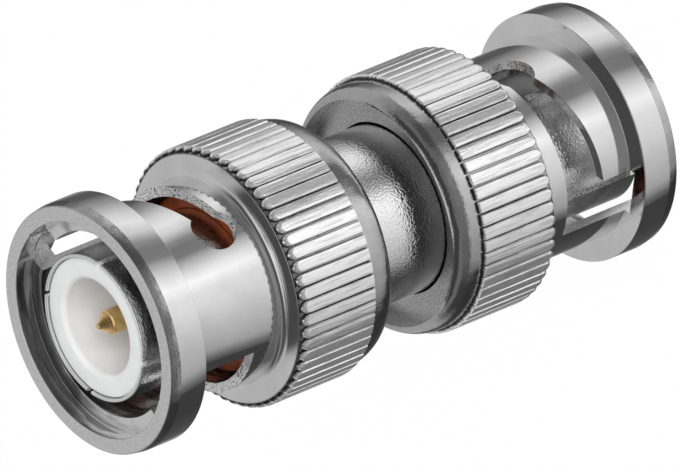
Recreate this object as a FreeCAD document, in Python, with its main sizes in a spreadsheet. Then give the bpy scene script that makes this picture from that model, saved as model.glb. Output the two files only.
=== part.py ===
import FreeCAD, Part
import math
import os
from types import SimpleNamespace

import Sketcher
from FreeCAD import Placement, Rotation, Vector

# Straight coaxial adapter with a bayonet plug at each end, standing on the open face of its lower plug.
# Units are millimetres. The axis is +Z, and the origin is on the axis at the lower open face.
# Each plug is drawn about the middle of the adapter with its open end up. The upper one is only turned
# about the axis, and the lower one is also turned over.
# A depth is measured from the open face of the coupling nut, back along the axis.

SIZES = {
    # Overall
    "overall_length": 34.7,
    # Radii from the bore of the centre body outwards through the plug
    "body_bore_radius": 3.2,
    "insulator_step": 0.5,
    "contact_wall": 0.4,
    "mating_gap": 1.05,
    "barrel_wall": 0.55,
    "flange_height": 1.25,
    # Radii from the bore of the centre body outwards through the grip
    "spigot_wall": 0.7,
    "body_wall": 0.8,
    "washer_bore_clearance": 0.1,
    "washer_width": 1.05,
    "washer_clearance": 0.15,
    "recess_step": 0.3,
    "rim_wall": 0.69,
    "flute_depth": 0.26,
    # Front flange of the coupling nut
    "flange_thickness": 2.3,
    "flange_taper_length": 0.6,
    "flange_taper_drop": 0.1,
    "lead_in_step": 0.85,
    "lead_in_depth": 1.0,
    # Barrel with its two bayonet slots
    "barrel_corner": 0.4,
    "knurl_face_depth": 8.6,
    "slot_entry_width": 2.6,
    "slot_entry_relief": 0.4,
    "slot_turn": 91.8,
    "slot_ramp_front": 4.1,
    "slot_ramp_front_rise": 1.75,
    "slot_ramp_rear": 6.65,
    "slot_ramp_rear_rise": 0.65,
    "slot_overcut": 0.7,
    "detent_depth": 6.3,
    "detent_radius": 1.26,
    # Fluted grip and rear rim
    "knurl_chamfer_drop": 0.35,
    "knurl_chamfer_length": 0.5,
    "knurl_length": 4.4,
    "knurl_end_length": 0.15,
    "flute_count": 60,
    "flute_width": 0.26,
    "rim_straight_length": 0.4,
    "rim_drop": 0.5,
    "rim_bend": 1.6,
    "recess_depth": 0.96,
    # Inside the coupling nut
    "shoulder_depth": 10.2,
    "axial_play": 0.02,
    # Outer contact
    "contact_tip_depth": 0.35,
    "contact_tip_chamfer": 0.1,
    "contact_rim_wall": 0.2,
    "contact_seat_depth": 0.5,
    "contact_slit_count": 4,
    "contact_slit_width": 0.35,
    "contact_slit_length": 5.2,
    "contact_flange_thickness": 1.2,
    "contact_flange_clearance": 0.1,
    "spigot_length": 3.0,
    # Gasket round the outer contact
    "gasket_thickness": 2.2,
    "gasket_clearance": 0.12,
    "gasket_chamfer": 0.25,
    # Washers, wave washer and retaining ring
    "front_washer_thickness": 0.25,
    "wave_height": 1.31,
    "wave_thickness": 0.2,
    "thrust_washer_thickness": 0.3,
    "ring_thickness": 0.9,
    "ring_bore_clearance": 0.08,
    # Insulators
    "insulator_tip_depth": 0.5,
    "insulator_clearance": 0.02,
    "insulator_bore_radius": 2.65,
    "insulator_bore_length": 6.0,
    "insulator_edge": 0.12,
    # Centre pin
    "pin_tip_depth": 0.65,
    "pin_radius": 0.68,
    "pin_edge": 0.09,
    "pin_cone_length": 0.62,
    "pin_cone_radius": 0.5,
    "pin_tip_radius": 0.16,
    "pin_step_length": 0.5,
    "pin_shank_radius": 0.9,
    "pin_collar_radius": 1.5,
    "pin_collar_length": 2.0,
    # Turns about the axis, in degrees
    "upper_nut_angle": 27.3,
    "lower_nut_angle": 45.4,
    "upper_contact_angle": 48.0,
    "lower_contact_angle": 40.0,
}


class Size:
    """A length as a number and as the expression on the sheet that gives it."""

    def __init__(self, value, text):
        self.value = value
        self.text = text

    def __add__(self, other):
        return combine(self, "+", other)

    def __sub__(self, other):
        return combine(self, "-", other)

    def __mul__(self, other):
        return combine(self, "*", other)

    def __truediv__(self, other):
        return combine(self, "/", other)

    def __neg__(self):
        return Size(-self.value, f"-({self.text})")


def combine(first, sign, second):
    """Join two sizes, or a size and a plain number, by one arithmetic sign."""
    if not isinstance(second, Size):
        second = Size(second, str(second))
    results = {
        "+": lambda a, b: a + b,
        "-": lambda a, b: a - b,
        "*": lambda a, b: a * b,
        "/": lambda a, b: a / b,
    }
    return Size(results[sign](first.value, second.value), f"({first.text} {sign} {second.text})")


document = FreeCAD.newDocument("bayonet_adapter")
sheet = document.addObject("Spreadsheet::Sheet", "Sizes")
for row, (name, value) in enumerate(SIZES.items(), start=1):
    sheet.set(f"A{row}", name)
    sheet.set(f"B{row}", str(value))
    sheet.setAlias(f"B{row}", name)
document.recompute()
size = SimpleNamespace(**{name: Size(value, f"Sizes.{name}") for name, value in SIZES.items()})
AXIS = Size(0, "0")

# Heights above the middle of the adapter
open_face = size.overall_length / 2
flange_rear = open_face - size.flange_thickness
lead_in_end = open_face - size.lead_in_depth
knurl_face = open_face - size.knurl_face_depth
knurl_front = knurl_face - size.knurl_chamfer_length
knurl_rear = knurl_front - size.knurl_length
rim_front = knurl_rear - size.knurl_end_length
rim_bend_start = rim_front - size.rim_straight_length
shoulder = open_face - size.shoulder_depth
contact_tip = open_face - size.contact_tip_depth
contact_seat = contact_tip - size.contact_seat_depth
contact_flange_front = shoulder - size.axial_play
contact_flange_rear = contact_flange_front - size.contact_flange_thickness
spigot_end = contact_flange_rear - size.spigot_length
gasket_front = contact_flange_front + size.gasket_thickness
front_washer_rear = contact_flange_rear - size.front_washer_thickness
wave_rear = front_washer_rear - size.axial_play - size.wave_height
thrust_front = wave_rear - size.axial_play
thrust_rear = thrust_front - size.thrust_washer_thickness
ring_front = thrust_rear - size.axial_play
ring_rear = ring_front - size.ring_thickness
nut_rear = ring_rear - size.recess_depth
insulator_tip = open_face - size.insulator_tip_depth
insulator_lip_rear = contact_seat + size.insulator_clearance
insulator_floor = insulator_tip - size.insulator_bore_length
pin_tip = open_face - size.pin_tip_depth
pin_cone_end = pin_tip - size.pin_cone_length
pin_step = insulator_floor - size.pin_step_length
collar_end = size.pin_collar_length / 2

# Radii of the plug, from the inside out
contact_bore = size.body_bore_radius + size.insulator_step
contact_radius = contact_bore + size.contact_wall
contact_seat_radius = contact_radius - size.contact_rim_wall
barrel_bore = contact_radius + size.mating_gap
barrel_radius = barrel_bore + size.barrel_wall
flange_radius = barrel_radius + size.flange_height
lead_in_radius = barrel_bore + size.lead_in_step
entry_floor = barrel_radius + size.slot_entry_relief
gasket_radius = barrel_bore - size.gasket_clearance
insulator_radius = contact_bore - size.insulator_clearance
insulator_lip_radius = contact_seat_radius - size.insulator_clearance
insulator_tail = size.body_bore_radius - size.insulator_clearance
pin_hole = size.pin_shank_radius + size.insulator_clearance

# Radii of the grip and what it holds, from the inside out
spigot_radius = size.body_bore_radius + size.spigot_wall
body_radius = spigot_radius + size.body_wall
washer_inner = body_radius + size.washer_bore_clearance
washer_outer = washer_inner + size.washer_width
ring_inner = body_radius + size.ring_bore_clearance
cavity_radius = washer_outer + size.washer_clearance
contact_flange_radius = cavity_radius - size.contact_flange_clearance
recess_radius = cavity_radius + size.recess_step
rim_radius = recess_radius + size.rim_wall
lip_radius = rim_radius - size.rim_drop
knurl_radius = rim_radius + size.flute_depth
knurl_face_radius = knurl_radius - size.knurl_chamfer_drop


def new_body(name):
    body = document.addObject("PartDesign::Body", name)
    body.Label = name
    return body


def new_sketch(body, name, role, offset=None):
    """Attach a sketch to one of its body's own origin planes."""
    sketch = body.newObject("Sketcher::SketchObject", name)
    plane = next(item for item in body.Origin.OriginFeatures if item.Role == role)
    sketch.AttachmentSupport = (plane, [""])
    sketch.MapMode = "FlatFace"
    if offset is not None:
        sketch.AttachmentOffset = offset
    return sketch


def raised_sketch(body, name, height):
    """Attach a sketch across the axis at a height above the middle of the adapter."""
    sketch = new_sketch(body, name, "XY_Plane", Placement(Vector(0, 0, height.value), Rotation()))
    sketch.setExpression("AttachmentOffset.Base.z", height.text)
    return sketch


def radial_turn(angle):
    """Turn a sketch about its own upright axis, so that it stands in the radial plane at this angle."""
    return Placement(Vector(0, 0, 0), Rotation(Vector(0, 1, 0), angle))


def bind(sketch, constraint, length):
    """Add a constraint that takes its value from the sheet."""
    index = sketch.addConstraint(constraint)
    sketch.setExpression(f"Constraints[{index}]", length.text)


def place_point(sketch, edge, end, across, along):
    """Fix one end of an edge at its distances from the sketch's two axes."""
    for kind, axis, distance in (("DistanceX", -2, across), ("DistanceY", -1, along)):
        if distance is AXIS:
            sketch.addConstraint(Sketcher.Constraint("PointOnObject", edge, end, axis))
        else:
            bind(sketch, Sketcher.Constraint(kind, -1, 1, edge, end, distance.value), distance)


def inward_arc(start, finish, radius):
    """An arc between two points of an outline drawn clockwise, with its centre on the outline's inner side."""
    chord = finish - start
    reach = math.sqrt(radius ** 2 - (chord.Length / 2) ** 2)
    centre = (start + finish) / 2 + Vector(chord.y, -chord.x, 0).normalize() * reach
    begin = math.atan2(finish.y - centre.y, finish.x - centre.x)
    end = math.atan2(start.y - centre.y, start.x - centre.x)
    return Part.ArcOfCircle(Part.Circle(centre, Vector(0, 0, 1), radius), begin, end)


def closed_outline(sketch, corners):
    """Draw a closed outline through corners given as (across, along) or (across, along, radius).

    The longer form makes the edge that arrives at the corner an arc of that radius.
    """
    points = [Vector(corner[0].value, corner[1].value, 0) for corner in corners]
    ends = []
    for index, corner in enumerate(corners):
        if len(corner) > 2:
            arc = inward_arc(points[index - 1], points[index], corner[2].value)
            ends.append((sketch.addGeometry(arc, False), 2, 1))
        else:
            line = Part.LineSegment(points[index - 1], points[index])
            ends.append((sketch.addGeometry(line, False), 1, 2))
    for index, corner in enumerate(corners):
        edge, _, finish = ends[index]
        follower, start, _ = ends[(index + 1) % len(ends)]
        sketch.addConstraint(Sketcher.Constraint("Coincident", edge, finish, follower, start))
        place_point(sketch, edge, finish, corner[0], corner[1])
        if len(corner) > 2:
            bind(sketch, Sketcher.Constraint("Radius", edge, corner[2].value), corner[2])


def ring_section(inner, outer, high, low):
    return [(inner, high), (outer, high), (outer, low), (inner, low)]


def both_halves(corners):
    """Complete the outline of a piece that is the same on both sides of the middle."""
    return corners + [(across, -along) for across, along in reversed(corners)]


def check_cut(body, volume, what):
    """Raise an error unless the last feature left less than the volume before it."""
    document.recompute()
    if not body.Shape.Volume < volume - 1e-6:
        raise RuntimeError(f"{body.Label}: {what} removes nothing")


def pocket(body, name, sketch, length):
    feature = body.newObject("PartDesign::Pocket", f"{body.Name}_{name}")
    feature.Profile = sketch
    feature.Length = length.value
    feature.setExpression("Length", length.text)
    return feature


def repeat_round(body, features, count, name):
    """Repeat features evenly round the axis."""
    pattern = body.newObject("PartDesign::PolarPattern", f"{body.Name}_{name}")
    pattern.Originals = features
    pattern.Axis = (next(line for line in body.Origin.OriginFeatures if line.Role == "Z_Axis"), [""])
    pattern.Angle = 360
    pattern.Occurrences = int(count.value)
    pattern.setExpression("Occurrences", count.text)
    body.Tip = pattern
    document.recompute()


def turned_body(name, corners):
    """Revolve a closed outline of (radius, height) corners about the axis."""
    body = new_body(name)
    sketch = new_sketch(body, f"{name}_outline", "XZ_Plane")
    closed_outline(sketch, corners)
    feature = body.newObject("PartDesign::Revolution", f"{name}_turned")
    feature.Profile = sketch
    feature.ReferenceAxis = (sketch, ["V_Axis"])
    feature.Angle = 360
    document.recompute()
    return body


def put(body, side="upper", angle=AXIS):
    """Set a piece in the adapter: upright on the upper side, turned over on the lower one."""
    flip = Rotation(Vector(1, 0, 0), 180 if side == "lower" else 0)
    spin = Rotation(Vector(0, 0, 1), angle.value)
    body.Placement = Placement(Vector(0, 0, open_face.value), spin.multiply(flip))
    body.setExpression("Placement.Base.z", open_face.text)
    return body


# Coupling nut

NUT_OUTLINE = [
    (flange_radius - size.flange_taper_drop, open_face),
    (flange_radius, open_face - size.flange_taper_length),
    (flange_radius, flange_rear),
    (barrel_radius, flange_rear),
    (barrel_radius, knurl_face + size.barrel_corner),
    (barrel_radius + size.barrel_corner, knurl_face),
    (knurl_face_radius, knurl_face),
    (knurl_radius, knurl_front),
    (knurl_radius, knurl_rear),
    (rim_radius, rim_front),
    (rim_radius, rim_bend_start),
    (lip_radius, nut_rear, size.rim_bend),
    (recess_radius, nut_rear),
    (recess_radius, ring_front),
    (cavity_radius, ring_front),
    (cavity_radius, shoulder),
    (barrel_bore, shoulder),
    (barrel_bore, lead_in_end),
    (lead_in_radius, lead_in_end),
    (lead_in_radius, open_face),
]
SLOT_COUNT = Size(2, "2")
RAMP_STEPS = 4
slot_inside = barrel_bore - size.slot_overcut
slot_outside = barrel_radius + size.slot_overcut


def cut_entry(nut):
    """The straight entry of a slot, from the open face back to the start of the ramp."""
    sketch = raised_sketch(nut, f"{nut.Name}_entry_outline", open_face)
    half = size.slot_entry_width / 2
    corners = [(slot_inside, -half), (entry_floor, -half), (entry_floor, half), (slot_inside, half)]
    closed_outline(sketch, corners)
    return pocket(nut, "entry", sketch, size.slot_ramp_rear)


def cut_ramp(nut):
    """The ramp that leads round the barrel from the entry to the detent."""
    sections = []
    for step in range(RAMP_STEPS + 1):
        share = step / RAMP_STEPS
        turn = radial_turn(-share * SIZES["slot_turn"])
        section = new_sketch(nut, f"{nut.Name}_ramp_section_{step}", "XZ_Plane", turn)
        front = open_face - size.slot_ramp_front - size.slot_ramp_front_rise * share ** 2
        rear = open_face - size.slot_ramp_rear - size.slot_ramp_rear_rise * share ** 2
        closed_outline(section, ring_section(slot_inside, slot_outside, front, rear))
        sections.append(section)
    ramp = nut.newObject("PartDesign::SubtractiveLoft", f"{nut.Name}_ramp")
    ramp.Profile = sections[0]
    ramp.Sections = sections[1:]
    ramp.Ruled = False
    return ramp


def cut_detent(nut):
    """The round seat in which the mating lug rests at the end of the ramp."""
    sketch = new_sketch(nut, f"{nut.Name}_detent_outline", "YZ_Plane", radial_turn(-SIZES["slot_turn"]))
    height = open_face - size.detent_depth
    circle = Part.Circle(Vector(0, height.value, 0), Vector(0, 0, 1), size.detent_radius.value)
    edge = sketch.addGeometry(circle, False)
    place_point(sketch, edge, 3, AXIS, height)
    bind(sketch, Sketcher.Constraint("Radius", edge, size.detent_radius.value), size.detent_radius)
    detent = pocket(nut, "detent", sketch, flange_radius)
    detent.Reversed = True
    return detent


def cut_flute(nut):
    """One of the narrow flutes that leave the flat ribs of the grip."""
    sketch = raised_sketch(nut, f"{nut.Name}_flute_outline", knurl_face)
    mouth = knurl_radius + size.flute_depth
    closed_outline(sketch, [(rim_radius, AXIS), (mouth, -size.flute_width), (mouth, size.flute_width)])
    length = size.knurl_chamfer_length + size.knurl_length + size.knurl_end_length
    return pocket(nut, "flute", sketch, length)


def coupling_nut(side):
    """One turned piece: flange, slotted barrel, fluted grip and rear rim."""
    nut = turned_body(f"{side}_bayonet_nut", NUT_OUTLINE)
    slot = []
    for make in (cut_entry, cut_ramp, cut_detent):
        volume = nut.Shape.Volume
        slot.append(make(nut))
        check_cut(nut, volume, make.__name__)
    volume = nut.Shape.Volume
    repeat_round(nut, slot, SLOT_COUNT, "slots")
    check_cut(nut, volume, "the second slot")
    volume = nut.Shape.Volume
    flute = cut_flute(nut)
    check_cut(nut, volume, "the first flute")
    volume = nut.Shape.Volume
    repeat_round(nut, [flute], size.flute_count, "flutes")
    check_cut(nut, volume, "the row of flutes")
    angles = {"upper": size.upper_nut_angle, "lower": size.lower_nut_angle}
    return put(nut, side, angles[side])


# Outer contact

CONTACT_OUTLINE = [
    (contact_radius - size.contact_tip_chamfer, contact_tip),
    (contact_radius, contact_tip - size.contact_tip_chamfer),
    (contact_radius, contact_flange_front),
    (contact_flange_radius, contact_flange_front),
    (contact_flange_radius, contact_flange_rear),
    (spigot_radius, contact_flange_rear),
    (spigot_radius, spigot_end),
    (size.body_bore_radius, spigot_end),
    (size.body_bore_radius, contact_flange_rear),
    (contact_bore, contact_flange_rear),
    (contact_bore, contact_seat),
    (contact_seat_radius, contact_seat),
    (contact_seat_radius, contact_tip),
]


def outer_contact(side):
    """Sprung sleeve with its flange, and the spigot that is pressed into the centre body."""
    contact = turned_body(f"{side}_outer_contact", CONTACT_OUTLINE)
    sketch = raised_sketch(contact, f"{contact.Name}_slit_outline", contact_tip)
    half = size.contact_slit_width / 2
    closed_outline(sketch, [
        (insulator_tail, -half),
        (barrel_bore, -half),
        (barrel_bore, half),
        (insulator_tail, half),
    ])
    volume = contact.Shape.Volume
    slit = pocket(contact, "slit", sketch, size.contact_slit_length)
    check_cut(contact, volume, "the first slit")
    volume = contact.Shape.Volume
    repeat_round(contact, [slit], size.contact_slit_count, "slits")
    check_cut(contact, volume, "the other slits")
    angles = {"upper": size.upper_contact_angle, "lower": size.lower_contact_angle}
    return put(contact, side, angles[side])


# Wave washer: a flat strip closed into a ring that rises and falls three times on its way round

WAVE_SECTIONS = 12
WAVE_LIFTS = (1.0, 0.5, 0.0, 0.5)


def wave_washer(side):
    washer = new_body(f"{side}_wave_washer")
    travel = size.wave_height - size.wave_thickness
    sections = []
    for step in range(WAVE_SECTIONS):
        turn = radial_turn(360 / WAVE_SECTIONS * step)
        section = new_sketch(washer, f"{washer.Name}_section_{step}", "XZ_Plane", turn)
        low = wave_rear + travel * WAVE_LIFTS[step % len(WAVE_LIFTS)]
        closed_outline(section, ring_section(washer_inner, washer_outer, low + size.wave_thickness, low))
        sections.append(section)
    strip = washer.newObject("PartDesign::AdditiveLoft", f"{washer.Name}_strip")
    strip.Profile = sections[0]
    strip.Sections = sections[1:]
    strip.Ruled = False
    strip.Closed = True
    document.recompute()
    return put(washer, side)


# Pieces that are only turned

INSULATOR_OUTLINE = [
    (insulator_lip_radius - size.insulator_edge, insulator_tip),
    (insulator_lip_radius, insulator_tip - size.insulator_edge),
    (insulator_lip_radius, insulator_lip_rear),
    (insulator_radius, insulator_lip_rear),
    (insulator_radius, contact_flange_rear),
    (insulator_tail, contact_flange_rear),
    (insulator_tail, collar_end),
    (pin_hole, collar_end),
    (pin_hole, insulator_floor),
    (size.insulator_bore_radius, insulator_floor),
    (size.insulator_bore_radius, insulator_tip - size.insulator_edge),
    (size.insulator_bore_radius + size.insulator_edge, insulator_tip),
]
GASKET_OUTLINE = [
    (contact_radius, gasket_front),
    (gasket_radius - size.gasket_chamfer, gasket_front),
    (gasket_radius, gasket_front - size.gasket_chamfer),
    (gasket_radius, contact_flange_front),
    (contact_radius, contact_flange_front),
]
PIN_OUTLINE = both_halves([
    (AXIS, pin_tip),
    (size.pin_tip_radius, pin_tip),
    (size.pin_cone_radius, pin_cone_end),
    (size.pin_radius - size.pin_edge, pin_cone_end),
    (size.pin_radius, pin_cone_end - size.pin_edge),
    (size.pin_radius, pin_step),
    (size.pin_shank_radius, pin_step),
    (size.pin_shank_radius, collar_end),
    (size.pin_collar_radius, collar_end),
])
BODY_OUTLINE = both_halves([
    (size.body_bore_radius, spigot_end),
    (spigot_radius, spigot_end),
    (spigot_radius, contact_flange_rear),
    (body_radius, contact_flange_rear),
])
PLUG_RINGS = {
    "insulator": INSULATOR_OUTLINE,
    "gasket": GASKET_OUTLINE,
    "front_washer": ring_section(washer_inner, washer_outer, contact_flange_rear, front_washer_rear),
    "thrust_washer": ring_section(washer_inner, washer_outer, thrust_front, thrust_rear),
    "retaining_ring": ring_section(ring_inner, recess_radius, ring_front, ring_rear),
}

pieces = [put(turned_body("centre_body", BODY_OUTLINE)), put(turned_body("centre_pin", PIN_OUTLINE))]
for side in ("upper", "lower"):
    pieces += [outer_contact(side), wave_washer(side), coupling_nut(side)]
    pieces += [put(turned_body(f"{side}_{name}", outline), side) for name, outline in PLUG_RINGS.items()]
document.recompute()

for item in document.Objects:
    if {"Invalid", "Error"} & set(item.State):
        raise RuntimeError(f"{item.Label} did not build: {item.State}")
os.makedirs("parts", exist_ok=True)
for piece in pieces:
    shape = piece.Shape
    if shape.isNull() or not shape.isValid():
        raise RuntimeError(f"{piece.Label} has no valid shape")
    shape.exportStep(os.path.join("parts", f"{piece.Label}.step"))
    print(f"{piece.Label}: {shape.Volume:.2f} mm3, {len(shape.Solids)} solid, {len(shape.Faces)} faces")
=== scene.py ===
"""Looks of a straight coaxial adapter that carries a bayonet plug at each end.

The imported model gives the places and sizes. Each plug is drawn in millimetres about the middle of the
adapter with its open end up, and then set on its side of the adapter in metres.
"""

from __future__ import annotations

import logging
import math
from dataclasses import dataclass
from enum import Enum, IntEnum
from typing import Callable, Iterator, Sequence

import bmesh
import bpy
from mathutils import Matrix, Vector

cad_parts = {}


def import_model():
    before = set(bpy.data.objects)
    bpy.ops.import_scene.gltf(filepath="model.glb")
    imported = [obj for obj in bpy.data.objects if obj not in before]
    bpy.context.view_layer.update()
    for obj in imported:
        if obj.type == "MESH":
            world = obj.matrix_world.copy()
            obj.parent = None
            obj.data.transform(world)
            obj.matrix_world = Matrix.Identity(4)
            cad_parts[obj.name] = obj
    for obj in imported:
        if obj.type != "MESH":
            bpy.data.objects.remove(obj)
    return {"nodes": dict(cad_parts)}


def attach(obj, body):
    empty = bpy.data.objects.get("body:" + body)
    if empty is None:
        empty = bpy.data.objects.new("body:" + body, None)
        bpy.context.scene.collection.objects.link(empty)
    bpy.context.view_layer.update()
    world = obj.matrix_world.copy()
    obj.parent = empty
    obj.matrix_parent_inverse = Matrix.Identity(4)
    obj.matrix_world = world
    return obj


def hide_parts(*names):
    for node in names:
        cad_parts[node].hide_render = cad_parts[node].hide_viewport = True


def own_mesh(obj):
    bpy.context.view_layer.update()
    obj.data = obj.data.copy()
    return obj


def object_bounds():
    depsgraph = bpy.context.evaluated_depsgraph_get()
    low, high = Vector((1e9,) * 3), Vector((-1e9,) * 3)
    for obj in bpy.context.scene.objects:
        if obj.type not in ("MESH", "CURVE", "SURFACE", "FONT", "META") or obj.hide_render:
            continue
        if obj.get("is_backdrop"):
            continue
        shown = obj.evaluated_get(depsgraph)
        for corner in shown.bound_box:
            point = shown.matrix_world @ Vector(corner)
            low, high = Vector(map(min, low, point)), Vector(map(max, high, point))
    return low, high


LOG = logging.getLogger("adapter")
MM = 0.001
FULL_TURN = 2 * math.pi
Triple = tuple[float, float, float]


class Side(Enum):
    """The two ends of the adapter."""

    UPPER = "upper"
    LOWER = "lower"


NUT_TURN = {Side.UPPER: 27.3, Side.LOWER: 45.4}
SLEEVE_TURN = {Side.UPPER: 48.0, Side.LOWER: 40.0}


class Coat(Enum):
    """The finishes that a piece of the adapter can wear."""

    POLISHED = "polished_nickel"
    BORE = "bore_nickel"
    CAST = "cast_nickel"
    # Painted shade: a darker copy of the nickel plate, for the nut's rear rim, rear face, recess and flange
    # taper.
    SHADED_RIM = "burnished_nickel"
    TURNED = "turned_nickel"
    LAND = "grip_nickel"
    CUT = "milled_nickel"
    SATIN = "satin_nickel"
    FROSTED = "frosted_nickel"
    INSULATION = "white_insulation"
    GOLD = "gold_plate"
    RUBBER = "red_rubber"
    SPRING = "spring_steel"


SLOT_OF_COAT = dict.fromkeys(Coat, "nickel_plate") | {
    Coat.FROSTED: "spring_steel",
    Coat.SPRING: "spring_steel",
    Coat.GOLD: "gold_plate",
    Coat.INSULATION: "white_insulation",
    Coat.RUBBER: "red_rubber",
}


# Node tools


def calculation(operation: str, reflected: bool = False) -> Callable[[Sock, Value], Sock]:
    """Make a method of Sock that adds a Math node.

    Args:
        operation: The node's operation.
        reflected: Whether the other value comes first.

    Returns:
        The method, which gives the node's result.
    """

    def method(self: Sock, other: Value) -> Sock:
        """Add the Math node."""
        first, second = (other, self) if reflected else (self, other)
        return self.graph.node("ShaderNodeMath", {"operation": operation}, {0: first, 1: second})

    return method


class Sock:
    """A node's output that takes part in sums written as Python expressions."""

    __add__, __radd__ = calculation("ADD"), calculation("ADD", True)
    __sub__, __rsub__ = calculation("SUBTRACT"), calculation("SUBTRACT", True)
    __mul__, __rmul__ = calculation("MULTIPLY"), calculation("MULTIPLY", True)
    __truediv__, __rtruediv__ = calculation("DIVIDE"), calculation("DIVIDE", True)
    __pow__, __rpow__ = calculation("POWER"), calculation("POWER", True)
    arctangent = calculation("ARCTAN2")

    def __init__(self, graph: Graph, socket: bpy.types.NodeSocket) -> None:
        """Keep the output socket of a node and the graph that holds it."""
        self.graph = graph
        self.socket = socket


Value = float | Sock
Colour = Triple | Sock


class Graph:
    """A node tree of a material, world or modifier that is filled from an empty one."""

    def __init__(self, tree: bpy.types.NodeTree) -> None:
        """Empty the tree.

        Args:
            tree: The node tree to fill.
        """
        self.tree = tree
        tree.nodes.clear()

    def node(
        self,
        kind: str,
        settings: dict | None = None,
        inputs: dict | None = None,
        output: int | str = 0,
    ) -> Sock:
        """Add a node of any type.

        Args:
            kind: The node's type name.
            settings: Properties of the node, set first. "stops" gives a ramp's stops as (place, colour).
            inputs: Values or sockets by the name or number of the node's input.
            output: The name or number of the output to return.

        Returns:
            The chosen output, or the node's first input where it has no output.
        """
        made = self.tree.nodes.new(kind)
        for name, value in (settings or {}).items():
            if name == "stops":
                self._set_stops(made.color_ramp, value)
            else:
                setattr(made, name, value)
        for name, value in (inputs or {}).items():
            target = made.inputs[name]
            if isinstance(value, Sock):
                self.tree.links.new(value.socket, target)
            else:
                target.default_value = value
        ends = made.outputs or made.inputs
        return Sock(self, ends[output])

    @staticmethod
    def _set_stops(ramp: bpy.types.ColorRamp, stops: Sequence[tuple[float, Triple]]) -> None:
        """Replace a ramp's stops."""
        while len(ramp.elements) > 1:
            ramp.elements.remove(ramp.elements[-1])
        for index, (place, colour) in enumerate(stops):
            stop = ramp.elements[0] if index == 0 else ramp.elements.new(place)
            stop.position = place
            stop.color = (*colour, 1.0)

    def parts(self, vector: Sock) -> Iterator[Sock]:
        """Split a vector into its three parts."""
        split = self.node("ShaderNodeSeparateXYZ", None, {0: vector}).socket.node
        return (Sock(self, split.outputs[name]) for name in "XYZ")

    def noise(self, vector: Sock, scale: float, detail: float = 2.0) -> Sock:
        """Noise between 0 and 1 at a scale per metre."""
        inputs = {"Vector": vector, "Scale": scale, "Detail": detail}
        return self.node("ShaderNodeTexNoise", None, inputs)

    def ramp(self, factor: Sock, low: float, high: float) -> Sock:
        """Stretch the part of a value between two limits to 0 and 1, with soft ends."""
        inputs = {"Value": factor, "From Min": low, "From Max": high}
        return self.node("ShaderNodeMapRange", {"interpolation_type": "SMOOTHSTEP"}, inputs)

    def blend(self, factor: Value, first: Colour, second: Colour) -> Sock:
        """Mix two colours."""
        one, other = (value if isinstance(value, Sock) else (*value, 1.0) for value in (first, second))
        return self.node("ShaderNodeMix", {"data_type": "RGBA"}, {0: factor, 6: one, 7: other}, 2)

    def squeezed(self, place: Sock, scale: Triple) -> Sock:
        """Scale coordinates. A small number draws a noise read there out along that axis."""
        return self.node("ShaderNodeMapping", None, {"Vector": place, "Scale": scale})

    def from_axis(self, place: Sock) -> tuple[Sock, Sock]:
        """Distance of a point from the axis and its height, in metres."""
        across, along, height = self.parts(place)
        return (across * across + along * along) ** 0.5, height

    def turned(self, place: Sock) -> Sock:
        """Coordinates of turned metal, which are the same all round the axis."""
        radius, height = self.from_axis(place)
        return self.node("ShaderNodeCombineXYZ", None, {"X": radius, "Y": height})

    def bump(self, height: Value, depth: float, strength: float) -> Sock:
        """Tilt a surface by a height map whose full height is a depth in metres."""
        inputs = {"Strength": strength, "Distance": depth, "Height": height}
        return self.node("ShaderNodeBump", None, inputs)


def grey(level: float) -> Triple:
    """Give a grey of one brightness."""
    return (level, level, level)


WHITE = grey(1.0)


# Finishes


def new_material(name: str) -> tuple[bpy.types.Material, Graph]:
    """Make a material and the graph that fills it."""
    made = bpy.data.materials.new(name)
    made.use_nodes = True
    return made, Graph(made.node_tree)


DRAWN_OUT = (1.0, 1.0, 0.1)


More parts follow.
